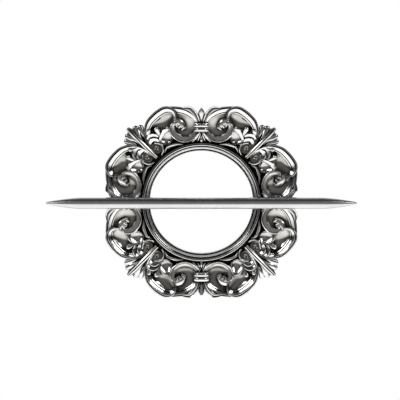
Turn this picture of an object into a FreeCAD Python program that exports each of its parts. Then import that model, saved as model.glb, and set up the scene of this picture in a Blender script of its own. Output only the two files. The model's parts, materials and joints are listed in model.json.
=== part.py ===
import FreeCAD
import Part

import math
import os

# Curtain holdback: a carved ring that a gathered curtain is drawn through, and a loose stick
# that is pushed through the bunched cloth and bears on the front of the ring.
#
# Frame, in millimetres: the opening's axis is Y, the flat back of the ring is the plane Y = 0, the front
# faces -Y, X runs along the stick and Z is up. The origin is the centre of the opening on the flat back.
#
# The carving repeats eight times. One octant is drawn from the clasp above the ring, at angle 0, to the
# corner stem, at angle 45, and is mirrored and turned. Each carved band follows a smooth line through a few
# points (angle in degrees, height above the ring's outer edge, width, rise of its crest above the back).

# Plain ring
opening_radius = 40.0
opening_wall_depth = 6.0
lip_width = 1.8
bead_width = 2.8
bead_rise = 10.0
bead_crown = 1.2
ledge_width = 1.9
ledge_rise = 6.2

# Sections of the carving, from one side to the other: (place across, fall from the crest), in half widths
leaf_section = [(-1, 0.75), (0, 0), (1, 0.75)]
moulded_section = [(-1, 1.1), (-0.5, 1.1), (-0.1, 0), (1, 0.6)]
facet_stray = 0.28
facet_turn_deg = 40.0

# Ground behind the carving: a low plate, dished between the bands
ground_rise = 3.0
ground_overlap = 1.0
dish_rim_rise = 6.8
dish_floor_rise = 3.2

# Clasp
clasp_height = 8.3
clasp_length = 6.8
clasp_rise = 12.0
clasp_bow = 2.8
clasp_half_angle = 5.6
rib_count = 2
rib_overlap = 0.2

# Corner stem
stem_start = 2.5
stem_end = 35.0
stem_point = 5.0
stem_base_width = 2.4
stem_width = 3.8
stem_tip_width = 1.6
stem_rise = 8.8
stem_fall = 1.8

# Stick
stick_length = 240.0
stick_diameter = 9.0
stick_taper_length = 27.0
stick_tip_diameter = 2.2
stick_clearance = 0.1

# Bands of one octant
volute = [
    (2.7, 8.4, 2.8, 8.8),
    (6.0, 4.8, 3.2, 8.8),
    (10.9, 3.0, 3.4, 9.0),
    (16.0, 3.5, 3.4, 9.2),
    (20.4, 6.4, 3.6, 9.4),
    (22.6, 10.6, 4.0, 9.6),
    (22.2, 14.9, 3.6, 9.8),
    (20.3, 17.6, 2.8, 9.8),
    (18.2, 17.4, 2.0, 9.6),
    (17.6, 15.2, 1.4, 9.0),
]
shoulder = [
    (2.5, 14.2, 2.6, 8.4),
    (4.7, 19.9, 3.4, 8.4),
    (8.6, 24.2, 4.4, 8.4),
    (18.3, 30.0, 2.4, 7.6),
]
scroll = [
    (17.7, 21.3, 1.8, 9.6),
    (17.0, 24.0, 2.2, 10.0),
    (17.3, 26.8, 3.2, 10.2),
    (18.9, 29.6, 4.6, 10.2),
    (21.5, 31.1, 5.0, 10.0),
    (25.1, 30.7, 5.0, 9.8),
    (29.3, 29.5, 4.8, 9.6),
    (33.5, 27.4, 5.2, 9.4),
    (36.8, 24.2, 4.2, 9.2),
    (39.6, 20.7, 3.2, 9.0),
    (42.9, 11.9, 2.6, 8.6),
    (43.7, 7.7, 2.2, 8.0),
]
bud_leaf = [(17.8, 20.6, 3.0, 8.2), (15.3, 16.8, 6.0, 8.0), (13.9, 12.2, 2.6, 7.0)]
foot_leaf = [(1.2, 7.8, 1.6, 8.4), (4.2, 4.0, 2.2, 8.2), (8.2, 1.2, 1.4, 7.2)]
fan_leaf = [
    (1.4, 14.3, 1.8, 9.4),
    (2.8, 21.2, 2.7, 9.6),
    (5.9, 25.6, 3.2, 9.2),
    (9.8, 27.2, 1.8, 8.2),
]
arch_leaf = [
    (35.0, 10.4, 2.0, 7.4),
    (30.4, 14.4, 2.4, 8.1),
    (26.8, 16.0, 2.8, 8.4),
    (24.3, 15.2, 1.4, 8.0),
]
tongues = [
    [(42.3, 13.5, 2.0, 8.0), (39.2, 15.8, 2.8, 8.9), (36.8, 15.0, 2.6, 9.2), (35.8, 12.7, 1.4, 8.6)],
    [(41.4, 17.0, 2.0, 8.2), (38.4, 19.2, 2.6, 8.8), (35.9, 18.4, 2.4, 9.0), (34.6, 16.4, 1.2, 8.4)],
]
lobes = [
    [(32.6, 13.2, 2.4, 7.4), (31.6, 17.3, 3.0, 7.8), (31.0, 20.7, 1.6, 7.0)],
    [(38.2, 19.2, 2.0, 7.6), (36.3, 21.7, 2.6, 7.8), (34.5, 23.8, 1.2, 7.0)],
]
eye_rim = [
    (40.2, 1.6, 1.4, 6.6),
    (36.2, 3.6, 1.9, 7.2),
    (34.9, 8.2, 2.2, 7.4),
    (38.0, 12.0, 1.6, 7.2),
]
edging = [
    (36.4, 1.7, 1.6, 5.4),
    (32.4, 3.9, 1.9, 5.8),
    (25.2, 3.4, 2.0, 6.1),
    (17.7, 0.7, 1.2, 6.4),
]
sprays = [
    [(40.4, 19.4, 3.0, 7.0), (39.6, 24.8, 4.6, 7.0), (39.0, 29.0, 3.2, 6.0)],
    [(42.4, 18.5, 3.0, 7.0), (42.2, 26.6, 5.0, 7.0), (41.9, 31.4, 3.4, 6.0)],
]

# Bands on the clasp's centre line
petal = [(0.0, 14.5, 1.6, 9.6), (0.0, 21.5, 3.2, 9.6), (0.0, 24.8, 4.4, 9.2), (0.0, 26.6, 2.4, 8.6)]
drop = [(0.0, -0.6, 1.4, 6.6), (0.0, 2.2, 2.6, 7.4), (0.0, 4.4, 1.4, 7.0)]

# Dishes: the (angle, height) of their low point and of their rim, which lies under the bands
volute_dish_centre = (12.0, 12.0)
volute_dish_rim = [
    (4.4, 7.6),
    (4.2, 17.4),
    (8.6, 24.2),
    (14.5, 27.8),
    (19.7, 18.5),
    (22.4, 12.6),
    (20.4, 6.4),
    (13.4, 3.1),
]
scroll_dish_centre = (26.0, 24.0)
scroll_dish_rim = [
    (17.0, 25.0),
    (20.0, 30.6),
    (27.2, 30.2),
    (33.5, 27.4),
    (36.8, 22.4),
    (31.2, 19.2),
    (26.8, 16.0),
    (22.4, 14.0),
]

# Outer edge of the ground, under the outer bands, from the clasp's centre line to the corner stem
ground_edge = [
    (0.0, 24.8),
    (2.8, 21.2),
    (5.9, 25.6),
    (9.8, 27.2),
    (18.3, 30.0),
    (21.5, 31.1),
    (25.1, 30.7),
    (29.3, 29.5),
    (33.5, 27.4),
    (36.8, 24.2),
    (38.9, 28.4),
    (40.4, 28.4),
    (41.7, 31.0),
    (43.3, 30.6),
    (45.0, 33.0),
]

octant_deg = 45.0
ring_outer_radius = opening_radius + lip_width + bead_width + ledge_width
origin = FreeCAD.Vector(0, 0, 0)
front = FreeCAD.Vector(0, -1, 0)
ring_axis = FreeCAD.Vector(0, 1, 0)
stick_axis = FreeCAD.Vector(1, 0, 0)


def around(angle_deg, height):
    """The point of the back plane at that angle from the clasp and that height above the ring's edge."""
    angle = math.radians(angle_deg)
    radius = ring_outer_radius + height
    return FreeCAD.Vector(radius * math.sin(angle), 0, radius * math.cos(angle))


def value_at(length, lengths, values):
    """The value at a length along a line, from the values at its points."""
    span = 0
    while span < len(lengths) - 2 and length > lengths[span + 1]:
        span += 1
    share = (length - lengths[span]) / (lengths[span + 1] - lengths[span])
    return values[span] + (values[span + 1] - values[span]) * share


def bending_stations(line, end):
    """Lengths along a line at which a straight facet from the last one would stray or turn too far."""
    samples = [end * sample / 400 for sample in range(401)]
    chosen = [0.0]
    turn = 0.0
    for here, there in zip(samples, samples[1:]):
        turn += line.tangent(here)[0].getAngle(line.tangent(there)[0])
        strayed = turn * (there - chosen[-1]) / 8
        if strayed >= facet_stray or turn >= math.radians(facet_turn_deg):
            chosen.append(there)
            turn = 0.0
    return [0.0] + chosen[1:-1] + [end]


def carved_band(points, section=leaf_section, follow_bends=False):
    """A solid band with that section along the smooth line through the points, its walls square to the back.

    A leaf's facets end at its points. A scroll follows its bends: its facets end where the bends need it.
    """
    angles, heights, widths, rises = zip(*points)
    spots = [around(angle, height) for angle, height in zip(angles, heights)]
    lengths = [0.0]
    for here, there in zip(spots, spots[1:]):
        lengths.append(lengths[-1] + here.distanceToPoint(there))
    line = Part.BSplineCurve()
    line.interpolate(Points=spots, Parameters=lengths)
    rows = []
    for length in bending_stations(line, lengths[-1]) if follow_bends else lengths:
        half = value_at(length, lengths, widths) / 2
        crest = value_at(length, lengths, rises)
        foot = line.value(length)
        side = line.tangent(length)[0].cross(front) * half
        top = [foot + side * across + front * (crest - fall * half) for across, fall in section]
        rows.append([foot + side * section[0][0]] + top + [foot + side * section[-1][0]])
    return faceted_solid(rows)


def facet(*corners):
    return Part.Face(Part.makePolygon([*corners, corners[0]]))


def faceted_solid(rows):
    """A solid closed by flat facets between rows of corners: two walls, the crest's slopes and the back."""
    faces = [facet(*rows[0]), facet(*rows[-1])]
    last = len(rows[0]) - 1
    for here, there in zip(rows, rows[1:]):
        for corner in range(last + 1):
            after = (corner + 1) % (last + 1)
            if 1 <= corner < last - 1:
                faces.append(facet(here[corner], here[after], there[after]))
                faces.append(facet(here[corner], there[after], there[corner]))
            else:
                faces.append(facet(here[corner], here[after], there[after], there[corner]))
    return closed_solid(faces)


def closed_solid(faces):
    shell = Part.makeShell(faces)
    shell.sewShape()
    solid = Part.makeSolid(shell.Shells[0])
    if solid.Volume < 0:
        solid.reverse()
    return solid


def turned(profile, centre):
    """A solid turned from (radius, rise) points about a line through the centre, square to the back."""
    corners = [centre + FreeCAD.Vector(radius, 0, 0) + front * rise for radius, rise in profile]
    return facet(*corners).revolve(centre, ring_axis, 360)


def plain_ring():
    """The opening's wall, a lip, a bead and a ledge."""
    bead_start = opening_radius + lip_width
    bead_end = bead_start + bead_width
    profile = [
        (opening_radius, 0),
        (opening_radius, opening_wall_depth),
        (bead_start, opening_wall_depth),
        (bead_start, bead_rise - bead_crown),
        (bead_start + bead_width / 2, bead_rise),
        (bead_end, bead_rise - bead_crown),
        (bead_end, ledge_rise),
        (ring_outer_radius, ledge_rise),
        (ring_outer_radius, 0),
    ]
    return turned(profile, origin)


def ground():
    """The low plate behind one octant of carving, let into the ring."""
    outline = [around(angle, height) for angle, height in ground_edge]
    outline += [around(octant_deg, -ground_overlap), around(0, -ground_overlap)]
    return facet(*outline).extrude(front * ground_rise)


def dish(centre, rim):
    """A dished ground: facets that fall from a rim under the bands to one low point."""
    low = around(*centre) + front * dish_floor_rise
    feet = [around(*point) for point in rim]
    tops = [foot + front * dish_rim_rise for foot in feet]
    faces = [facet(*feet)]
    for here in range(len(rim)):
        faces.append(facet(feet[here - 1], feet[here], tops[here], tops[here - 1]))
        faces.append(facet(tops[here - 1], tops[here], low))
    return closed_solid(faces)


def clasp_ribs():
    """The ribs that tie the bands together, bowed forward across the clasp's centre line."""
    rib_width = clasp_length / rib_count
    ribs = []
    for rib in range(rib_count):
        height = clasp_height + rib_width * (rib + 0.5)
        points = []
        for share, bow in ((-1, clasp_bow), (-0.4, 0), (0.4, 0), (1, clasp_bow)):
            points.append((clasp_half_angle * share, height, rib_width + rib_overlap, clasp_rise - bow))
        ribs.append(carved_band(points))
    return ribs


def corner_stem():
    points = [
        (octant_deg, stem_start, stem_base_width, stem_rise),
        (octant_deg, stem_end - stem_point, stem_width, stem_rise - stem_fall),
        (octant_deg, stem_end, stem_tip_width, stem_rise - stem_fall),
    ]
    return carved_band(points)


def carved_ring():
    """One casting: eight octants of carving, four clasps and corner stems, and the plain ring."""
    bands = [
        dish(volute_dish_centre, volute_dish_rim),
        dish(scroll_dish_centre, scroll_dish_rim),
        carved_band(volute, follow_bends=True),
        carved_band(shoulder, follow_bends=True),
        carved_band(scroll, moulded_section, follow_bends=True),
    ]
    for leaf in [bud_leaf, fan_leaf, foot_leaf, arch_leaf, eye_rim, edging] + tongues + lobes + sprays:
        bands.append(carved_band(leaf))
    octant = ground().multiFuse(bands)
    mirrored = octant.mirror(origin, FreeCAD.Vector(1, 0, 0))
    centred = [carved_band(petal), carved_band(drop), corner_stem()] + clasp_ribs()
    quadrant = octant.multiFuse([mirrored] + centred)
    quadrants = []
    for turn in range(4):
        copy = quadrant.copy()
        copy.rotate(origin, ring_axis, turn * 2 * octant_deg)
        quadrants.append(copy)
    return plain_ring().multiFuse(quadrants).removeSplitter()


def stick():
    """The turned stick with an ogival taper at each end, lying across the front of two clasps."""
    radius = stick_diameter / 2
    tip_radius = stick_tip_diameter / 2
    taper_start = stick_length / 2 - stick_taper_length
    taper = []
    for share in (0, 0.5, 1):
        out = radius - (radius - tip_radius) * share**1.5
        taper.append((taper_start + share * stick_taper_length, out))
    taper.append((stick_length / 2, 0))
    outline = [(-along, out) for along, out in reversed(taper)] + taper
    centre = front * (clasp_rise + stick_clearance + radius)
    corners = [centre + FreeCAD.Vector(along, 0, out) for along, out in outline]
    return facet(*corners).revolve(centre, stick_axis, 360)


os.makedirs("parts", exist_ok=True)
for name, shape in (("carved_ring", carved_ring()), ("stick", stick())):
    shape.exportStep(f"parts/{name}.step")
    print(name, shape.isValid(), len(shape.Solids), len(shape.Faces), shape.BoundBox)
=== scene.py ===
"""Looks of the curtain holdback: a cast, carved ring of polished silver with painted shade in its recesses
and a satin stick across it.
"""
import json
import math

import bmesh
import bpy
from mathutils import Matrix, Vector


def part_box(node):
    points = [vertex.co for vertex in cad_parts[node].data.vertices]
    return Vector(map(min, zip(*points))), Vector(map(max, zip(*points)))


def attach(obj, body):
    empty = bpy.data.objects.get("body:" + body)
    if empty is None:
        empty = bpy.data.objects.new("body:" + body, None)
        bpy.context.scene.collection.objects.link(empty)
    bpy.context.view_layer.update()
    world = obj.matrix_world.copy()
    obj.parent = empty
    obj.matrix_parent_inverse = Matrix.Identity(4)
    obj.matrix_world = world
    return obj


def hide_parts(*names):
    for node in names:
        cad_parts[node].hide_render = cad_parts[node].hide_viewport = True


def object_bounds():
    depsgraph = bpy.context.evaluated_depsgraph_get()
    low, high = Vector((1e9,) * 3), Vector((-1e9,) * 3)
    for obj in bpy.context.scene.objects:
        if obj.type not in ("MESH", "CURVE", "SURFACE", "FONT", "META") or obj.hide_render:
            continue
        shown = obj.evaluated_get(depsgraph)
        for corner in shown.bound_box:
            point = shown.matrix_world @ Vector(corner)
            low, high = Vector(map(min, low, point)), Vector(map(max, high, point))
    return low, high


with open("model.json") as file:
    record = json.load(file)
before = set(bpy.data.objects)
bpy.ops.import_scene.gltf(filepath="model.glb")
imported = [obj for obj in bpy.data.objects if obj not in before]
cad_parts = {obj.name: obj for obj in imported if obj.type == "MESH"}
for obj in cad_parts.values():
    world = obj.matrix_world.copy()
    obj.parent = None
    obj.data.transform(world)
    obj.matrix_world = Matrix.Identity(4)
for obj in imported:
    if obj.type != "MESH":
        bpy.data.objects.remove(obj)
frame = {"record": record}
cad_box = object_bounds()

# Sizes are in millimetres and are turned into metres where Blender takes them.
mm = 0.001

# Camera, as the photograph has it
camera_elevation_deg = 4.5
camera_distance = 1600.0
photo_width = 310.0
photo_centre_x = -1.1
photo_centre_z = 2.0
sensor_width = 36.0

# Ring
opening_radius = frame["record"]["mounts"][0]["dims"]["r_mm"]
ring_edge = 46.5
# Its moulding, as (distance outwards from the opening's edge, rise): a lip, two sloped beads and a fillet
ring_moulding = [
    (0.0, 6.2), (0.5, 6.7), (1.0, 6.4), (1.2, 5.6),
    (1.4, 7.6), (1.7, 8.3), (2.8, 9.5), (3.0, 9.6), (3.15, 9.3), (3.2, 8.2),
    (3.4, 8.1), (3.45, 8.5), (3.6, 8.8), (4.4, 9.3), (4.6, 9.3), (4.75, 9.0), (4.8, 7.7),
    (5.1, 7.5), (5.15, 7.9), (5.4, 8.2), (5.8, 8.1), (6.1, 7.4), (6.5, 6.0),
]
ring_steps = 256

# Meshes of the carving: rows along a band, its round tips (rows past the end of the line, and the fall of the
# crest, both in half widths), the angle from which an edge is sharp, and slivers that are taken out
line_spacing = 1.1
tip_shares = (0.35, 0.65, 0.87, 0.985)
tip_fall = 0.6
sharp_angle_deg = 38.0
sliver_width = 0.003

# Clasp
clasp_height = 8.3
clasp_length = 6.8
clasp_rise = 12.0
clasp_half_angle = 5.3
clasp_bow = 1.6
clasp_bow_power = 4
rib_count = 2
rib_overlap = 0.2
rib_shares = (-1, -0.6, 0, 0.6, 1)

# Ground behind the carving: a low plate with dishes that lean back from the ring's edge outwards
ground_rise = 3.0
corner_rise = 6.0
ground_overlap = 1.0
dish_edge_rise = 8.2
dish_lean = 0.07
dish_rings = (1.0, 0.95, 0.87, 0.76, 0.62, 0.46, 0.28, 0.1)
rim_steps = 6

# Bands of one octant: (angle from the clasp in degrees, height above the ring's edge, width, rise)
octant_deg = 45.0
volute = [
    (2.9, 8.6, 3.2, 8.8),
    (6.2, 5.3, 4.0, 8.8),
    (10.9, 3.6, 4.4, 9.0),
    (15.7, 4.1, 4.6, 9.2),
    (19.9, 6.8, 4.8, 9.4),
    (22.0, 10.6, 5.0, 9.6),
    (21.7, 14.7, 4.6, 9.8),
    (20.2, 17.4, 3.4, 9.8),
    (18.3, 17.2, 2.4, 9.6),
    (17.8, 15.2, 1.6, 9.0),
]
shoulder = [
    (2.7, 14.2, 3.4, 8.6),
    (5.2, 19.6, 4.8, 8.8),
    (9.0, 23.8, 5.6, 9.0),
    (18.3, 29.4, 5.0, 8.6),
]
scroll = [
    (17.7, 21.3, 1.8, 9.6),
    (17.0, 24.0, 2.2, 10.0),
    (17.3, 26.8, 3.4, 10.2),
    (19.0, 29.2, 5.2, 10.2),
    (21.5, 30.4, 6.2, 10.2),
    (25.1, 30.0, 6.4, 10.2),
    (29.3, 28.8, 6.2, 10.0),
    (33.4, 27.0, 5.8, 9.8),
    (36.8, 24.0, 4.6, 9.4),
    (39.6, 20.7, 3.4, 9.0),
    (42.9, 11.9, 2.6, 8.6),
    (43.7, 7.7, 2.2, 8.0),
]
bud_leaf = [(18.2, 20.6, 3.4, 8.8), (15.4, 17.4, 6.6, 9.0), (13.4, 13.4, 3.6, 8.2)]
bud_tips = [
    [(13.0, 13.2, 2.0, 9.2), (14.0, 12.6, 1.8, 9.0), (14.8, 12.0, 1.5, 8.6)],
    [(14.8, 15.6, 2.0, 9.4), (15.8, 14.9, 1.8, 9.2), (16.6, 14.2, 1.5, 8.8)],
    [(16.6, 18.2, 2.0, 9.6), (17.5, 17.4, 1.8, 9.4), (18.2, 16.7, 1.5, 9.0)],
]
fan_leaf = [
    (1.6, 13.8, 2.2, 9.0),
    (2.8, 18.1, 3.4, 9.6),
    (4.8, 23.0, 4.4, 9.8),
    (7.1, 26.2, 4.6, 9.6),
    (10.8, 27.2, 3.0, 8.8),
]
arch_leaf = [
    (35.0, 10.4, 2.2, 7.4),
    (30.6, 14.2, 3.0, 8.2),
    (27.0, 15.8, 3.6, 8.8),
    (24.3, 15.4, 1.8, 8.6),
]
tongues = [
    [(42.3, 13.5, 2.4, 8.2), (39.2, 15.2, 3.4, 8.9), (36.6, 14.4, 3.2, 9.0), (35.2, 12.0, 2.0, 8.6)],
    [(41.4, 17.0, 2.4, 8.4), (38.4, 18.7, 3.4, 9.2), (35.6, 17.7, 3.2, 9.4), (33.8, 15.2, 2.0, 8.8)],
]
lobes = [
    [(32.8, 13.8, 2.4, 7.4), (31.8, 17.4, 3.6, 8.6), (31.6, 20.2, 3.4, 9.8)],
    [(40.2, 18.8, 2.0, 7.6), (38.2, 20.8, 3.2, 8.8), (36.4, 22.2, 2.8, 9.8)],
]
eye_rim = [
    (40.2, 1.6, 1.4, 6.8),
    (36.2, 3.6, 1.7, 7.4),
    (34.9, 8.2, 2.0, 7.6),
    (38.0, 12.0, 1.6, 7.4),
]
edging = [
    (36.4, 1.7, 1.6, 5.8),
    (32.4, 3.7, 2.4, 6.4),
    (25.2, 3.0, 2.8, 6.8),
    (17.7, 0.7, 1.4, 6.8),
]
sprays = [
    [(41.4, 18.0, 1.8, 6.4), (40.5, 23.6, 2.6, 7.4), (39.6, 27.0, 4.6, 7.0), (39.2, 28.2, 4.4, 6.6)],
    [(43.4, 17.0, 1.8, 6.6), (43.3, 23.6, 2.6, 7.6), (42.2, 28.4, 5.0, 7.0), (41.8, 30.2, 4.6, 6.4)],
]
stem = [
    (45.0, 2.5, 3.4, 7.4),
    (45.0, 12.0, 3.8, 9.2),
    (45.0, 20.0, 3.8, 9.4),
    (45.0, 30.0, 4.0, 7.6),
    (45.0, 33.4, 3.2, 6.4),
]
petal = [(0.0, 14.5, 1.8, 8.0), (0.0, 20.0, 3.8, 9.0), (0.0, 23.2, 4.8, 9.7), (0.0, 25.8, 2.4, 10.0)]
foot_leaves = [
    [(0.9, 8.0, 1.4, 7.8), (1.9, 4.6, 1.6, 7.4), (3.2, 1.8, 1.2, 6.8)],
    [(1.6, 8.0, 1.6, 8.8), (4.6, 4.2, 2.2, 8.4), (8.4, 1.2, 1.4, 7.4)],
]
drop = [(0.0, -0.6, 1.4, 6.6), (0.0, 2.2, 2.6, 7.4), (0.0, 4.4, 1.4, 7.0)]

# Dishes of one octant: the (angle, height) of the low point, its depth below the rim, and the rim's points
dishes = {
    "volute_dish": ((12.4, 8.4), 4.0, [
        (4.4, 7.6), (4.2, 17.4), (8.6, 24.2), (14.5, 27.8),
        (19.7, 18.5), (22.4, 12.6), (20.4, 6.4), (13.4, 3.1),
    ]),
    "scroll_dish": ((26.6, 20.4), 3.6, [
        (17.4, 24.6), (20.4, 28.8), (25.6, 27.8), (30.6, 26.6), (34.8, 23.8),
        (36.8, 21.0), (31.2, 17.4), (26.8, 15.4), (22.6, 13.8),
    ]),
    "leaf_dish": ((29.0, 8.2), 2.6, [
        (29.2, 16.0), (33.0, 14.2), (34.4, 10.4), (33.0, 6.6),
        (29.2, 5.0), (25.4, 6.6), (23.8, 10.4), (25.4, 14.4),
    ]),
    "eye_dish": ((39.6, 8.0), 3.6, [
        (39.6, 12.4), (42.6, 11.2), (43.8, 8.0), (42.4, 4.8),
        (39.6, 3.6), (36.6, 4.8), (35.4, 8.0), (36.6, 11.2),
    ]),
}

# Outer edge of the ground, under the outer bands, from the clasp's centre line to the corner stem
ground_edge = [
    (0.0, 24.8), (2.8, 21.2), (5.9, 25.6), (9.8, 27.2), (18.3, 30.0),
    (21.5, 31.1), (25.1, 30.7), (29.3, 29.5), (33.5, 27.4), (36.8, 24.2),
    (38.9, 28.4), (40.4, 28.4), (41.7, 31.0), (43.3, 30.6), (45.0, 33.0),
]
# Edge of the raised ground behind the corner leaves, from the stem's axis round to its tip
corner_edge = [
    (45.0, 18.0), (41.0, 20.0), (38.8, 25.6), (38.4, 28.6), (39.2, 30.2), (40.4, 29.4),
    (41.0, 31.4), (41.9, 32.4), (43.2, 31.4), (44.0, 33.6), (45.0, 34.6),
]

# Stick
stick_tip_radius = 1.1
stick_nose_degrees = (8, 30, 55, 75)
stick_taper_length = 27.0
stick_taper_power = 1.5
stick_taper_steps = 24
stick_sides = 96

# Looks: a noise is (scale per metre, detail), and a ramp is a list of (value, grey or colour) stops.

# Cast metal, painted near black as shade in deep recesses (0) up to bright open polished faces (1)
recess_reach = 3.5
recess_samples = 12
painted_shade_tones = [
    (0.40, (0.008, 0.006, 0.004)),
    (0.60, (0.06, 0.05, 0.038)),
    (0.76, (0.56, 0.54, 0.51)),
    (0.90, (0.96, 0.96, 0.95)),
]
recess_roughness = [(0.3, 0.5), (0.7, 0.13)]
tarnish_noise = (90, 3)
tarnish_greys = [(0.35, 0.90), (0.65, 1.0)]
grain_noise = (900, 4)
grain_height = 0.02
grain_strength = 0.25
# Low grounds are painted darker as shade, with a faint warm painted reflection, from the first level above
# the back down to the second
hollow_shade_levels = (7.0, 3.2)
hollow_shade_tones = [(0.0, 1.0), (1.0, (0.54, 0.52, 0.48))]
# The back is left as cast, below these levels
cast_levels = (0.3, 0.1)
cast_grey_noise = (320, 5)
cast_greys = [(0.3, 0.46), (0.7, 0.54)]
cast_roughness_noise = (400, 3)
cast_roughness = [(0.3, 0.42), (0.7, 0.52)]

# Turned metal of the stick, brushed in fine rings, so that its noise is finer along the stick
stick_noise = (35, 3)
stick_greys = [(0.3, 0.70), (0.7, 0.80)]
brushing_noise = (150, 3)
brushing_stretch = (40, 1, 1)
brushing_roughness = [(0.3, 0.22), (0.7, 0.26)]
brushing_height = 0.001
brushing_strength = 0.02

# Floor. Its white fades to a grey edge between two distances from its middle.
floor_drop = 700.0
floor_front = 6000.0
floor_back = 400.0
floor_half_width = 6000.0
floor_level = cad_box[0].z / mm - floor_drop
floor_fade = (1500.0, 3600.0)
floor_edge_grey = 0.1
floor_noise = (4, 2)
floor_greys = [(0.3, 0.55), (0.7, 0.58)]
floor_roughness = 0.9

# Room, from the wall in front of the object (0) over the ceiling and sides to the wall behind it (1)
room_greys = [(0.0, 0.20), (0.06, 0.13), (0.2, 0.03), (0.5, 0.03), (0.77, 0.1), (0.88, 1.0)]

# Lamps, all turned to the origin: place, size and power in watts
lamps = {
    "high_lamp": ((0, 700, 1300), (1500, 1500), 1.5),
    "left_lamp": ((-1050, -950, 900), (650, 600), 3.8),
    "right_lamp": ((1050, -950, 900), (650, 600), 3.8),
}


def bead(start, end, top, foot, steps):
    """A round bead between two places across a section, from its foot over its top to its foot."""
    middle = (start + end) / 2
    half = (end - start) / 2
    points = []
    for step in range(steps + 1):
        turn = math.pi * step / steps
        points.append((middle - half * math.cos(turn), foot - (foot - top) * math.sin(turn)))
    return points


# Sections: (place across, fall from the crest), in half widths. The minus side is the outer side of a scroll,
# shoulder or fan leaf, and the plus side that of a volute, tongue or arch leaf.
roll_section = bead(-1, 1, 0, 0.9, 8)
dome_section = bead(-1, 1, 0, 0.5, 8)
volute_slope = [(-0.5, 0.66), (-0.1, 0.6), (0.3, 0.5)]
volute_section = bead(-1, -0.76, 0.35, 0.65, 4) + volute_slope + bead(0.5, 1, 0, 0.5, 6)
scroll_slope = [(-0.34, 0.45), (-0.31, 0.06), (-0.25, 0.0), (-0.15, 0.03), (0.48, 0.42), (0.53, 0.75)]
scroll_section = bead(-1, -0.4, 0.5, 0.85, 5) + scroll_slope + bead(0.57, 1, 0.55, 0.85, 4)
fan_section = [
    (-1, 0.3), (-0.95, 0.08), (-0.86, 0.0), (-0.78, 0.03), (-0.42, 0.36),
    (-0.38, 0.6), (-0.1, 0.48), (0.3, 0.45), (0.7, 0.6), (1, 0.9),
]
scale_section = [(-1, 0.85), (-0.8, 0.62), (0.3, 0.08), (0.55, 0.0), (0.8, 0.12), (1, 0.45)]
leaf_section = [
    (-1, 0.55), (-0.8, 0.2), (-0.4, 0.0), (-0.14, 0.08), (0, 0.3),
    (0.14, 0.08), (0.4, 0.0), (0.8, 0.2), (1, 0.55),
]


def place(point):
    """The (x, z, width, rise) of a band's point."""
    angle_deg, height, width, rise = point
    angle = math.radians(angle_deg)
    radius = ring_edge + height
    return Vector((radius * math.sin(angle), radius * math.cos(angle), width, rise))


def line_weights(t):
    """The shares of two knots, and of the leans at them, in a smooth line's place at t between the knots."""
    return 2 * t**3 - 3 * t**2 + 1, 3 * t**2 - 2 * t**3, t**3 - 2 * t**2 + t, t**3 - t**2


def smooth_line(points):
    """Closely spaced places along a smooth line through the points, with the direction at each."""
    knots = [place(point) for point in points]
    spans = [(there.xy - here.xy).length for here, there in zip(knots, knots[1:])]
    slopes = [(there - here) / span for here, there, span in zip(knots, knots[1:], spans)]
    leans = [None] * len(knots)
    for knot in range(1, len(knots) - 1):
        before = spans[knot - 1]
        after = spans[knot]
        leans[knot] = (slopes[knot - 1] * after + slopes[knot] * before) / (before + after)
    # Both ends run out without a bend
    leans[0] = slopes[0] * 1.5 - leans[1] * 0.5
    leans[-1] = slopes[-1] * 1.5 - leans[-2] * 0.5
    places = []
    for knot, span in enumerate(spans):
        steps = max(2, math.ceil(span / line_spacing))
        last = knot == len(spans) - 1
        for step in range(steps + 1 if last else steps):
            at_here, at_there, lean_here, lean_there = line_weights(step / steps)
            spot = knots[knot] * at_here + knots[knot + 1] * at_there
            spot += leans[knot] * span * lean_here + leans[knot + 1] * span * lean_there
            places.append(spot)
    directions = []
    for spot in range(len(places)):
        ahead = places[min(spot + 1, len(places) - 1)]
        behind = places[max(spot - 1, 0)]
        directions.append((ahead.xy - behind.xy).normalized())
    return list(zip(places, directions))


def closed_line(points):
    """Closely spaced (x, z) places on a smooth closed line through the points."""
    knots = [place((angle, height, 0, 0)).xy for angle, height in points]
    count = len(knots)
    places = []
    for knot in range(count):
        before, here, there, after = (knots[(knot + shift) % count] for shift in (-1, 0, 1, 2))
        for step in range(rim_steps):
            at_here, at_there, lean_here, lean_there = line_weights(step / rim_steps)
            spot = here * at_here + there * at_there
            spot += (there - before) / 2 * lean_here
            spot += (after - here) / 2 * lean_there
            places.append(spot)
    return places


def rounded_end(spot, way):
    """Places past the end of a line, at which the band closes in a round tip."""
    here, direction = spot
    half = here.z / 2
    tip = []
    for share in tip_shares:
        left = math.sqrt(1 - share**2)
        shift = direction * half * share * way
        lower = half * (1 - left) * tip_fall
        tip.append((Vector((here.x + shift.x, here.y + shift.y, here.z * left, here.w - lower)), direction))
    return tip


def add_rows(mesh, rows, closed):
    """Joins neighbouring rows of points with faces, and closes both ends or the round."""
    rings = [[mesh.verts.new(Vector(point) * mm) for point in row] for row in rows]
    followers = rings[1:] + rings[:1] if closed else rings[1:]
    for here, there in zip(rings, followers):
        for corner in range(len(here)):
            after = (corner + 1) % len(here)
            mesh.faces.new((here[corner], here[after], there[after], there[corner]))
    if not closed:
        mesh.faces.new(rings[0])
        mesh.faces.new(list(reversed(rings[-1])))


def solid(name, rows, closed=False):
    """A closed mesh through rows of points."""
    mesh = bmesh.new()
    add_rows(mesh, rows, closed)
    bmesh.ops.recalc_face_normals(mesh, faces=mesh.faces)
    data = bpy.data.meshes.new(name)
    mesh.to_mesh(data)
    mesh.free()
    return data


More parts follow.
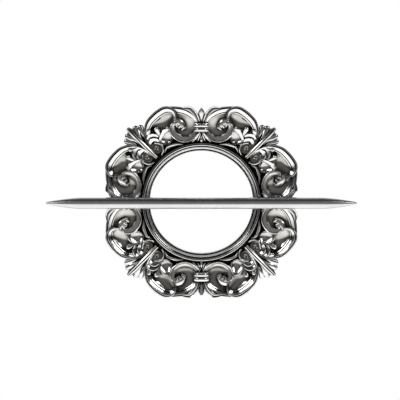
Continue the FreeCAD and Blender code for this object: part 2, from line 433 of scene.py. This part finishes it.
def band(name, points, section, round_start=False, round_end=True):
    """A carved band along the smooth line through the points, with walls square to the back."""
    line = smooth_line(points)
    if round_start:
        line = list(reversed(rounded_end(line[0], -1))) + line
    if round_end:
        line = line + rounded_end(line[-1], 1)
    rows = []
    for here, direction in line:
        half = here.z / 2
        side = Vector((direction.y, -direction.x)) * half
        row = [(here.x - side.x, 0, here.y - side.y)]
        for across, fall in section:
            row.append((here.x + side.x * across, -(here.w - fall * half), here.y + side.y * across))
        row.append((here.x + side.x, 0, here.y + side.y))
        rows.append(row)
    return solid(name, rows)


def moulded_ring():
    """The opening's wall and the moulding round it, turned about the opening's axis."""
    profile = [(opening_radius, 0)]
    for distance, rise in ring_moulding:
        profile.append((opening_radius + distance, rise))
    profile.append((ring_edge, 0))
    rows = []
    for step in range(ring_steps):
        angle = 2 * math.pi * step / ring_steps
        along = Vector((math.sin(angle), math.cos(angle)))
        rows.append([(along.x * radius, -rise, along.y * radius) for radius, rise in profile])
    return solid("moulded_ring", rows, closed=True)


def plate(name, corners, rise):
    """A flat plate on the back plane with the corners' outline."""
    spots = [place((angle, height, 0, 0)) for angle, height in corners]
    return solid(name, [[(spot.x, -level, spot.y) for spot in spots] for level in (0, rise)])


def dish(name, centre, depth, rim):
    """A smooth dished ground that falls from a rim under the bands to its low point."""
    middle = place((*centre, 0, 0)).xy
    line = closed_line(rim)
    mean = sum((spot - middle).length for spot in line) / len(line)
    rows = [[(spot.x, 0, spot.y) for spot in line]]
    for share in dish_rings:
        row = []
        for spot in line:
            reach = (spot - middle).length * share + mean * (1 - share)
            here = middle + (spot - middle).normalized() * reach * share
            rise = dish_edge_rise - dish_lean * (here.length - ring_edge) - depth * (1 - share**2)
            row.append((here.x, -rise, here.y))
        rows.append(row)
    return solid(name, rows)


def clasp_ribs():
    """The ribs that tie the bands together, bowed forward across the clasp's centre line."""
    rib_width = clasp_length / rib_count
    ribs = []
    for rib in range(rib_count):
        height = clasp_height + rib_width * (rib + 0.5)
        points = []
        for share in rib_shares:
            bow = clasp_bow * share**clasp_bow_power
            points.append((clasp_half_angle * share, height, rib_width + rib_overlap, clasp_rise - bow))
        ribs.append(band(f"rib_{rib}", points, roll_section, round_end=False))
    return ribs


def octant_bands():
    """The ground, dishes and bands of one octant."""
    ring_side = [(octant_deg, -ground_overlap), (0.0, -ground_overlap)]
    bands = [plate("ground", ground_edge + ring_side, ground_rise), plate("corner", corner_edge, corner_rise)]
    for name, (centre, depth, rim) in dishes.items():
        bands.append(dish(name, centre, depth, rim))
    bands += [
        band("volute", volute, volute_section),
        band("shoulder", shoulder, scroll_section),
        band("scroll", scroll, scroll_section, round_start=True),
        band("fan_leaf", fan_leaf, fan_section),
        band("bud_leaf", bud_leaf, dome_section),
        band("arch_leaf", arch_leaf, scale_section),
        band("eye_rim", eye_rim, roll_section),
        band("edging", edging, roll_section, round_start=True),
    ]
    leaf_groups = [
        (bud_tips, roll_section),
        (foot_leaves, roll_section),
        (tongues, scale_section),
        (lobes, dome_section),
        (sprays, dome_section),
    ]
    for leaves, section in leaf_groups:
        for leaf in leaves:
            bands.append(band("leaf", leaf, section))
    return bands


def united(name, meshes):
    """One closed mesh from overlapping closed meshes."""
    base = bpy.data.objects.new(name, meshes[0])
    bpy.context.scene.collection.objects.link(base)
    group = bpy.data.collections.new(name)
    others = [bpy.data.objects.new(name, mesh) for mesh in meshes[1:]]
    for other in others:
        group.objects.link(other)
    bpy.context.scene.collection.children.link(group)
    union = base.modifiers.new("union", "BOOLEAN")
    union.operation = "UNION"
    union.operand_type = "COLLECTION"
    union.collection = group
    union.solver = "MANIFOLD"
    joined = bpy.data.meshes.new_from_object(base.evaluated_get(bpy.context.evaluated_depsgraph_get()))
    for used in [base] + others:
        bpy.data.objects.remove(used)
    bpy.data.collections.remove(group)
    return joined


def moved(mesh, matrix):
    """A copy of a mesh, turned or mirrored."""
    copy = mesh.copy()
    copy.transform(matrix)
    if matrix.determinant() < 0:
        copy.flip_normals()
    return copy


def cleaned(mesh):
    """The mesh without the slivers that a union leaves where surfaces nearly meet."""
    work = bmesh.new()
    work.from_mesh(mesh)
    bmesh.ops.dissolve_degenerate(work, edges=work.edges, dist=sliver_width * mm)
    loose = [edge for edge in work.edges if edge.is_wire]
    bmesh.ops.delete(work, geom=loose, context="EDGES")
    work.to_mesh(mesh)
    work.free()
    return mesh


def carved_ring():
    """The whole casting: eight octants, four clasps, petals, drops and corner stems, and the moulded ring."""
    octant = united("octant", octant_bands())
    mirrored = moved(octant, Matrix.Diagonal((-1, 1, 1, 1)))
    centred = [
        band("petal", petal, dome_section),
        band("drop", drop, roll_section, round_start=True),
        band("stem", stem, leaf_section),
    ]
    quadrant = united("quadrant", [octant, mirrored] + centred + clasp_ribs())
    turns = [moved(quadrant, Matrix.Rotation(math.pi / 2 * turn, 4, "Y")) for turn in range(4)]
    return cleaned(united("carved_ring", [moulded_ring()] + turns))


def turned_stick():
    """The stick, turned with a long ogival taper and a round nose at each end."""
    low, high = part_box("stick")
    half_length = (high.x - low.x) / 2 / mm
    radius = (high.z - low.z) / 2 / mm
    centre_y = (low.y + high.y) / 2 / mm
    outline = []
    for degrees in stick_nose_degrees:
        turn = math.radians(degrees)
        along = half_length - stick_tip_radius * (1 - math.cos(turn))
        outline.append((along, stick_tip_radius * math.sin(turn)))
    for step in range(stick_taper_steps + 1):
        share = 1 - step / stick_taper_steps
        along = half_length - stick_tip_radius - (stick_taper_length - stick_tip_radius) * (1 - share)
        outline.append((along, radius - (radius - stick_tip_radius) * share**stick_taper_power))
    outline += [(-along, out) for along, out in reversed(outline)]
    rows = []
    for along, out in outline:
        row = []
        for side in range(stick_sides):
            turn = 2 * math.pi * side / stick_sides
            row.append((along, centre_y + out * math.cos(turn), out * math.sin(turn)))
        rows.append(row)
    return solid("stick", rows)


def smooth_piece(name, mesh, material):
    """A piece with smooth shading between sharp edges."""
    mesh.name = name
    mesh.shade_smooth()
    mesh.set_sharp_from_angle(angle=math.radians(sharp_angle_deg))
    mesh.materials.clear()
    mesh.materials.append(material)
    piece = bpy.data.objects.new(name, mesh)
    bpy.context.scene.collection.objects.link(piece)
    return piece


def new_material(name):
    """A material with its node tree and its shader."""
    material = bpy.data.materials.new(name)
    material.use_nodes = True
    tree = material.node_tree
    return material, tree, tree.nodes["Principled BSDF"]


def ramp(tree, source, stops):
    """A ramp from (position, grey or colour) stops, fed by a socket."""
    node = tree.nodes.new("ShaderNodeValToRGB")
    elements = node.color_ramp.elements
    elements[1].position = stops[-1][0]
    elements[0].position = stops[0][0]
    for stop in stops[1:-1]:
        elements.new(stop[0])
    for element, (_, shade) in zip(elements, stops):
        colour = shade if isinstance(shade, tuple) else (shade, shade, shade)
        element.color = (*colour, 1)
    tree.links.new(source, node.inputs["Fac"])
    return node.outputs["Color"]


def noise(tree, scale, detail, stretch=(1, 1, 1)):
    """Noise fixed to the object, at a scale per metre."""
    coordinates = tree.nodes.new("ShaderNodeTexCoord")
    mapping = tree.nodes.new("ShaderNodeMapping")
    mapping.inputs["Scale"].default_value = stretch
    texture = tree.nodes.new("ShaderNodeTexNoise")
    texture.inputs["Scale"].default_value = scale
    texture.inputs["Detail"].default_value = detail
    tree.links.new(coordinates.outputs["Object"], mapping.inputs["Vector"])
    tree.links.new(mapping.outputs["Vector"], texture.inputs["Vector"])
    return texture.outputs["Fac"]


def mixed(tree, share, first, second):
    """The first colour where the share is 0, and the second where it is 1."""
    node = tree.nodes.new("ShaderNodeMix")
    node.data_type = "RGBA"
    tree.links.new(share, node.inputs["Factor"])
    tree.links.new(first, node.inputs["A"])
    tree.links.new(second, node.inputs["B"])
    return node.outputs["Result"]


def product(tree, first, second):
    """Two colours multiplied."""
    node = tree.nodes.new("ShaderNodeMix")
    node.data_type = "RGBA"
    node.blend_type = "MULTIPLY"
    node.inputs["Factor"].default_value = 1.0
    tree.links.new(first, node.inputs["A"])
    tree.links.new(second, node.inputs["B"])
    return node.outputs["Result"]


def arithmetic(tree, operation, first, second):
    """Two numbers put through one operation."""
    node = tree.nodes.new("ShaderNodeMath")
    node.operation = operation
    tree.links.new(first, node.inputs[0])
    tree.links.new(second, node.inputs[1])
    return node.outputs["Value"]


def mapped(tree, source, start, end, first=0.0, last=1.0):
    """A number that goes from the first to the last while the source goes from start to end."""
    node = tree.nodes.new("ShaderNodeMapRange")
    node.inputs["From Min"].default_value = start
    node.inputs["From Max"].default_value = end
    node.inputs["To Min"].default_value = first
    node.inputs["To Max"].default_value = last
    tree.links.new(source, node.inputs["Value"])
    return node.outputs["Result"]


def place_along_y(tree, kind):
    """The Y part of one kind of coordinates."""
    coordinates = tree.nodes.new("ShaderNodeTexCoord")
    ways = tree.nodes.new("ShaderNodeSeparateXYZ")
    tree.links.new(coordinates.outputs[kind], ways.inputs["Vector"])
    return ways.outputs["Y"]


def low_share(tree, high, low):
    """0 where the surface rises to the high level or above it, and 1 from the low level down to the back."""
    return mapped(tree, place_along_y(tree, "Object"), -high * mm, -low * mm)


def bump(tree, shader, source, height, strength):
    """Fine unevenness of the surface."""
    node = tree.nodes.new("ShaderNodeBump")
    node.inputs["Distance"].default_value = height * mm
    node.inputs["Strength"].default_value = strength
    tree.links.new(source, node.inputs["Height"])
    tree.links.new(node.outputs["Normal"], shader.inputs["Normal"])


def silver_with_painted_shade():
    """Polished cast silver with painted shade in the recesses, painted shade with a faint warm painted
    reflection on the low grounds, faint tarnish and a dull cast back.
    """
    material, tree, shader = new_material("silver_with_painted_shade")
    shader.inputs["Metallic"].default_value = 1.0
    recess = tree.nodes.new("ShaderNodeAmbientOcclusion")
    recess.samples = recess_samples
    recess.only_local = True
    recess.inputs["Distance"].default_value = recess_reach * mm
    # Painted shade: each spot's occlusion darkens the silver's colour towards black in the recesses
    polish = ramp(tree, recess.outputs["AO"], painted_shade_tones)
    tarnish = ramp(tree, noise(tree, *tarnish_noise), tarnish_greys)
    # Painted shade with a faint warm painted reflection on the low grounds
    low_ground_shade = ramp(tree, low_share(tree, *hollow_shade_levels), hollow_shade_tones)
    silver = product(tree, product(tree, polish, tarnish), low_ground_shade)
    roughness = ramp(tree, recess.outputs["AO"], recess_roughness)
    back = low_share(tree, *cast_levels)
    back_grey = ramp(tree, noise(tree, *cast_grey_noise), cast_greys)
    back_roughness = ramp(tree, noise(tree, *cast_roughness_noise), cast_roughness)
    tree.links.new(mixed(tree, back, silver, back_grey), shader.inputs["Base Color"])
    tree.links.new(mixed(tree, back, roughness, back_roughness), shader.inputs["Roughness"])
    bump(tree, shader, noise(tree, *grain_noise), grain_height, grain_strength)
    return material


def satin_silver():
    """Turned metal with fine rings of brushing round the stick."""
    material, tree, shader = new_material("satin_silver")
    shader.inputs["Metallic"].default_value = 1.0
    brushing = noise(tree, *brushing_noise, brushing_stretch)
    tree.links.new(ramp(tree, noise(tree, *stick_noise), stick_greys), shader.inputs["Base Color"])
    tree.links.new(ramp(tree, brushing, brushing_roughness), shader.inputs["Roughness"])
    bump(tree, shader, brushing, brushing_height, brushing_strength)
    return material


def pale_floor():
    """A matt floor that reads as white to the camera and in reflections, and still takes shadows."""
    material, tree, shader = new_material("pale_floor")
    shader.inputs["Roughness"].default_value = floor_roughness
    tree.links.new(ramp(tree, noise(tree, *floor_noise), floor_greys), shader.inputs["Base Color"])
    shader.inputs["Emission Color"].default_value = (1, 1, 1, 1)
    rays = tree.nodes.new("ShaderNodeLightPath")
    seen = rays.outputs["Is Camera Ray"]
    for kind in ("Is Glossy Ray", "Is Transmission Ray"):
        seen = arithmetic(tree, "MAXIMUM", seen, rays.outputs[kind])
    coordinates = tree.nodes.new("ShaderNodeTexCoord")
    distance = tree.nodes.new("ShaderNodeVectorMath")
    distance.operation = "DISTANCE"
    distance.inputs[1].default_value = (0, 0, floor_level * mm)
    tree.links.new(coordinates.outputs["Object"], distance.inputs[0])
    near, far = floor_fade
    fade = mapped(tree, distance.outputs["Value"], near * mm, far * mm, 1.0, floor_edge_grey)
    tree.links.new(arithmetic(tree, "MULTIPLY", seen, fade), shader.inputs["Emission Strength"])
    return material


def add_floor():
    """A pale floor, well below the object."""
    wide = floor_half_width
    corners = [(-wide, -floor_front), (wide, -floor_front), (wide, floor_back), (-wide, floor_back)]
    data = bpy.data.meshes.new("floor")
    data.from_pydata([Vector((x, y, floor_level)) * mm for x, y in corners], [], [(0, 1, 2, 3)])
    data.materials.append(pale_floor())
    floor = bpy.data.objects.new("floor", data)
    bpy.context.scene.collection.objects.link(floor)


def add_room():
    """A dim room with a white wall behind the object."""
    world = bpy.data.worlds.new("room")
    bpy.context.scene.world = world
    world.use_nodes = True
    tree = world.node_tree
    share = mapped(tree, place_along_y(tree, "Generated"), -1.0, 1.0)
    background = tree.nodes["Background"]
    tree.links.new(ramp(tree, share, room_greys), background.inputs["Color"])
    background.inputs["Strength"].default_value = 1.0


def add_lamp(name, spot, size, power):
    """A soft oblong lamp, turned to the origin."""
    lamp = bpy.data.lights.new(name, "AREA")
    lamp.shape = "RECTANGLE"
    lamp.size = size[0] * mm
    lamp.size_y = size[1] * mm
    lamp.energy = power
    holder = bpy.data.objects.new(name, lamp)
    bpy.context.scene.collection.objects.link(holder)
    holder.location = Vector(spot) * mm
    holder.rotation_euler = (Vector((0, 0, 0)) - holder.location).to_track_quat("-Z", "Y").to_euler()


def add_camera():
    """The camera at the photograph's height and distance."""
    data = bpy.data.cameras.new("camera")
    data.sensor_width = sensor_width
    data.lens = sensor_width * camera_distance / photo_width
    camera = bpy.data.objects.new("camera", data)
    bpy.context.scene.collection.objects.link(camera)
    elevation = math.radians(camera_elevation_deg)
    target = Vector((photo_centre_x, (cad_box[0].y + cad_box[1].y) / 2 / mm, photo_centre_z)) * mm
    away = Vector((0, -math.cos(elevation), math.sin(elevation)))
    camera.location = target + away * camera_distance * mm
    camera.rotation_euler = (-away).to_track_quat("-Z", "Y").to_euler()
    bpy.context.scene.camera = camera


bpy.context.scene.view_settings.view_transform = "Standard"
add_camera()
add_floor()
add_room()
for lamp_name, (lamp_spot, lamp_size, lamp_power) in lamps.items():
    add_lamp(lamp_name, lamp_spot, lamp_size, lamp_power)

ring = smooth_piece("carved_ring_visual", carved_ring(), silver_with_painted_shade())
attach(ring, "root")
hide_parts("carved_ring")

rod = smooth_piece("stick_visual", turned_stick(), satin_silver())
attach(rod, "root")
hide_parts("stick")

bpy.context.view_layer.update()
